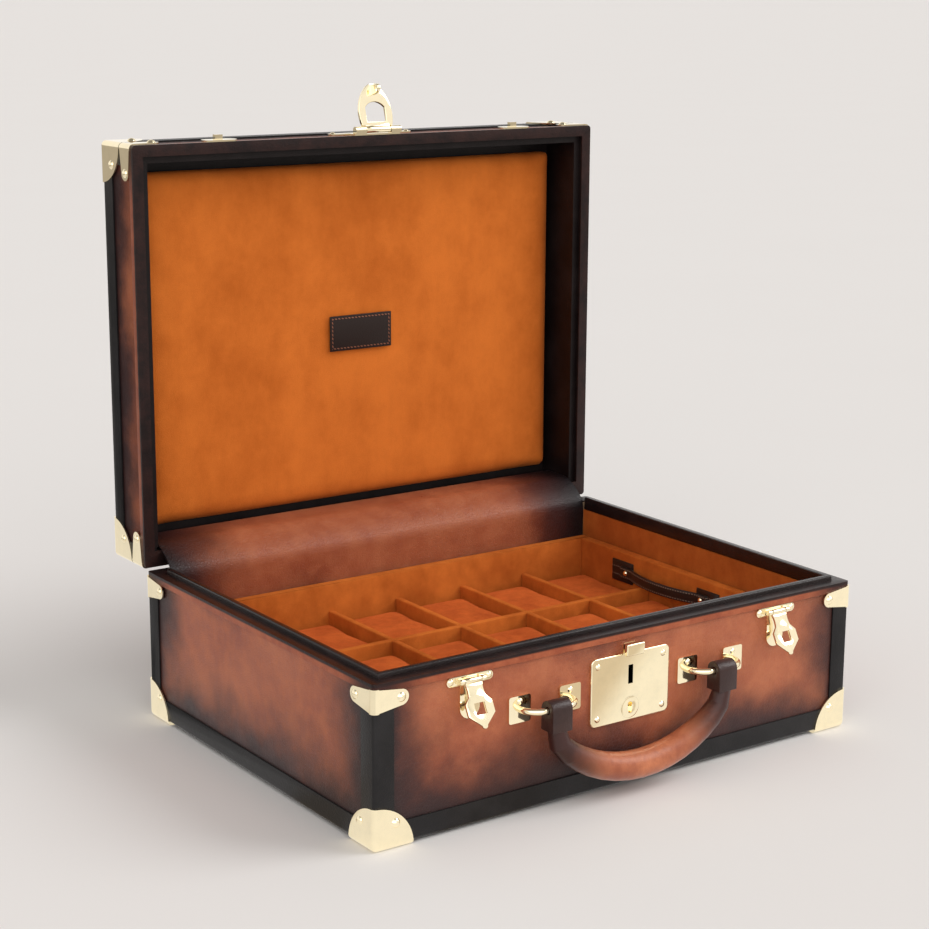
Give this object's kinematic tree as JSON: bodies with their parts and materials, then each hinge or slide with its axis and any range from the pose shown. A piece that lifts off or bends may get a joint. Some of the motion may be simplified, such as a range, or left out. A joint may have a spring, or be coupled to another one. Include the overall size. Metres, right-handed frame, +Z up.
{
  "type": "watch box",
  "caption": "Trunk-style watch box with a hinged lid, lock and hasp, clasps, swinging handle and a lift-out tray of cells with watch cushions.",
  "frame": {"origin": "middle of the underside, on the surface the box stands on", "axes": "+X to the right seen from the front, +Y to the back where the hinge is, +Z up"},
  "size_m": [0.4056, 0.3757, 0.4478],
  "materials": {
    "patina_leather": "burnished",
    "black_leather": "glossy",
    "brown_leather": "polished",
    "brass": "polished",
    "board": "raw",
    "tray_suede": "napped",
    "panel_suede": "napped",
    "cushion_suede": "napped"
  },
  "bodies": {
    "base": {"base_floor_board": "board", "base_front_board": "board", "base_back_board": "board", "base_left_board": "board", "base_right_board": "board", "base_front_leather": "patina_leather", "base_back_leather": "patina_leather", "base_side_leathers": "patina_leather", "base_bottom_pad": "black_leather", "base_edge_trim": "black_leather", "base_rim_binding": "black_leather", "base_collar": "black_leather", "base_corner_caps": "brass", "base_rim_brackets": "brass", "base_nails": "brass", "base_wall_lining": "tray_suede", "base_floor_lining": "tray_suede", "hinge_gusset_base": "brown_leather", "hinge_base_leaves": "brass", "pivot_pins": "brass", "lock_plate": "brass", "lock_case": "brass", "clasp_plates": "brass", "handle_bows": "brass"},
    "lock_button": {"lock_button": "brass"},
    "lock_plug": {"lock_plug": "brass"},
    "lock_bolt": {"lock_bolt": "brass"},
    "clasp_lever_left": {"clasp_lever_left": "brass"},
    "clasp_lever_right": {"clasp_lever_right": "brass"},
    "handle": {"handle_grip": "brown_leather", "handle_end_loops": "black_leather"},
    "tray": {"tray_floor": "tray_suede", "tray_walls": "tray_suede", "tray_long_dividers": "tray_suede", "tray_cross_dividers": "tray_suede", "tray_pull_straps": "black_leather", "tray_pull_rivets": "brass", "watch_cushions_under_straps": "cushion_suede"},
    "watch_cushions_front": {"watch_cushions_front_row": "cushion_suede"},
    "watch_cushions_middle": {"watch_cushions_middle_row": "cushion_suede"},
    "watch_cushions_back": {"watch_cushions_back_row": "cushion_suede"},
    "hasp": {"hasp": "brass"},
    "lid": {"lid_wall_boards": "board", "lid_top_board": "board", "lid_wall_leather": "patina_leather", "lid_top_leather": "patina_leather", "lid_edge_trim": "black_leather", "lid_rim_binding": "black_leather", "lid_corner_caps": "brass", "lid_rim_brackets": "brass", "lid_nails": "brass", "lid_wall_lining": "black_leather", "lid_padded_panel": "panel_suede", "lid_patch": "black_leather", "lid_strikes": "brass", "hinge_gusset_lid": "brown_leather", "hinge_lid_leaves": "brass", "hasp_plate": "brass", "hasp_pin": "brass"}
  },
  "joints": [
    {"name": "lid_hinge", "type": "hinge", "parent": "base", "child": "lid", "pos_m": [0, 0.1525, 0.1075], "axis": [-1, 0, 0], "range_deg": [-90, 0]},
    {"name": "hasp_hinge", "type": "hinge", "parent": "lid", "child": "hasp", "pos_m": [0, 0.1542, 0.4145], "axis": [-1, 0, 0], "range_deg": [-106, 0]},
    {"name": "clasp_left", "type": "hinge", "parent": "base", "child": "clasp_lever_left", "pos_m": [-0.129, -0.1531, 0.0991], "axis": [1, 0, 0], "range_deg": [-152, 0]},
    {"name": "clasp_right", "type": "hinge", "parent": "base", "child": "clasp_lever_right", "pos_m": [0.129, -0.1531, 0.0991], "axis": [1, 0, 0], "range_deg": [-152, 0]},
    {"name": "handle_swing", "type": "hinge", "parent": "base", "child": "handle", "pos_m": [0, -0.1633, 0.0715], "axis": [-1, 0, 0], "range_deg": [0, 150]},
    {"name": "button_press", "type": "slide", "parent": "base", "child": "lock_button", "axis": [0, 1, 0], "range_m": [0, 0.0015], "stiffness_N_per_m": 400},
    {"name": "key_turn", "type": "hinge", "parent": "base", "child": "lock_plug", "pos_m": [0, -0.1513, 0.055], "axis": [0, 1, 0], "range_deg": [0, 90]},
    {"name": "bolt_slide", "type": "slide", "parent": "base", "child": "lock_bolt", "axis": [1, 0, 0], "range_m": [0, 0.00679]},
    {"name": "tray_lift", "type": "slide", "parent": "base", "child": "tray", "axis": [0, 0, 1], "range_m": [0, 0.11]},
    {"name": "watch_cushions_front_lift", "type": "slide", "parent": "tray", "child": "watch_cushions_front", "axis": [0, 0, 1], "range_m": [0, 0.05]},
    {"name": "watch_cushions_middle_lift", "type": "slide", "parent": "tray", "child": "watch_cushions_middle", "axis": [0, 0, 1], "range_m": [0, 0.05]},
    {"name": "watch_cushions_back_lift", "type": "slide", "parent": "tray", "child": "watch_cushions_back", "axis": [0, 0, 1], "range_m": [0, 0.05]}
  ],
  "couplings": [
    {"joint": "bolt_slide", "follows": "key_turn", "m_per_rad": 0.0043215}
  ]
}
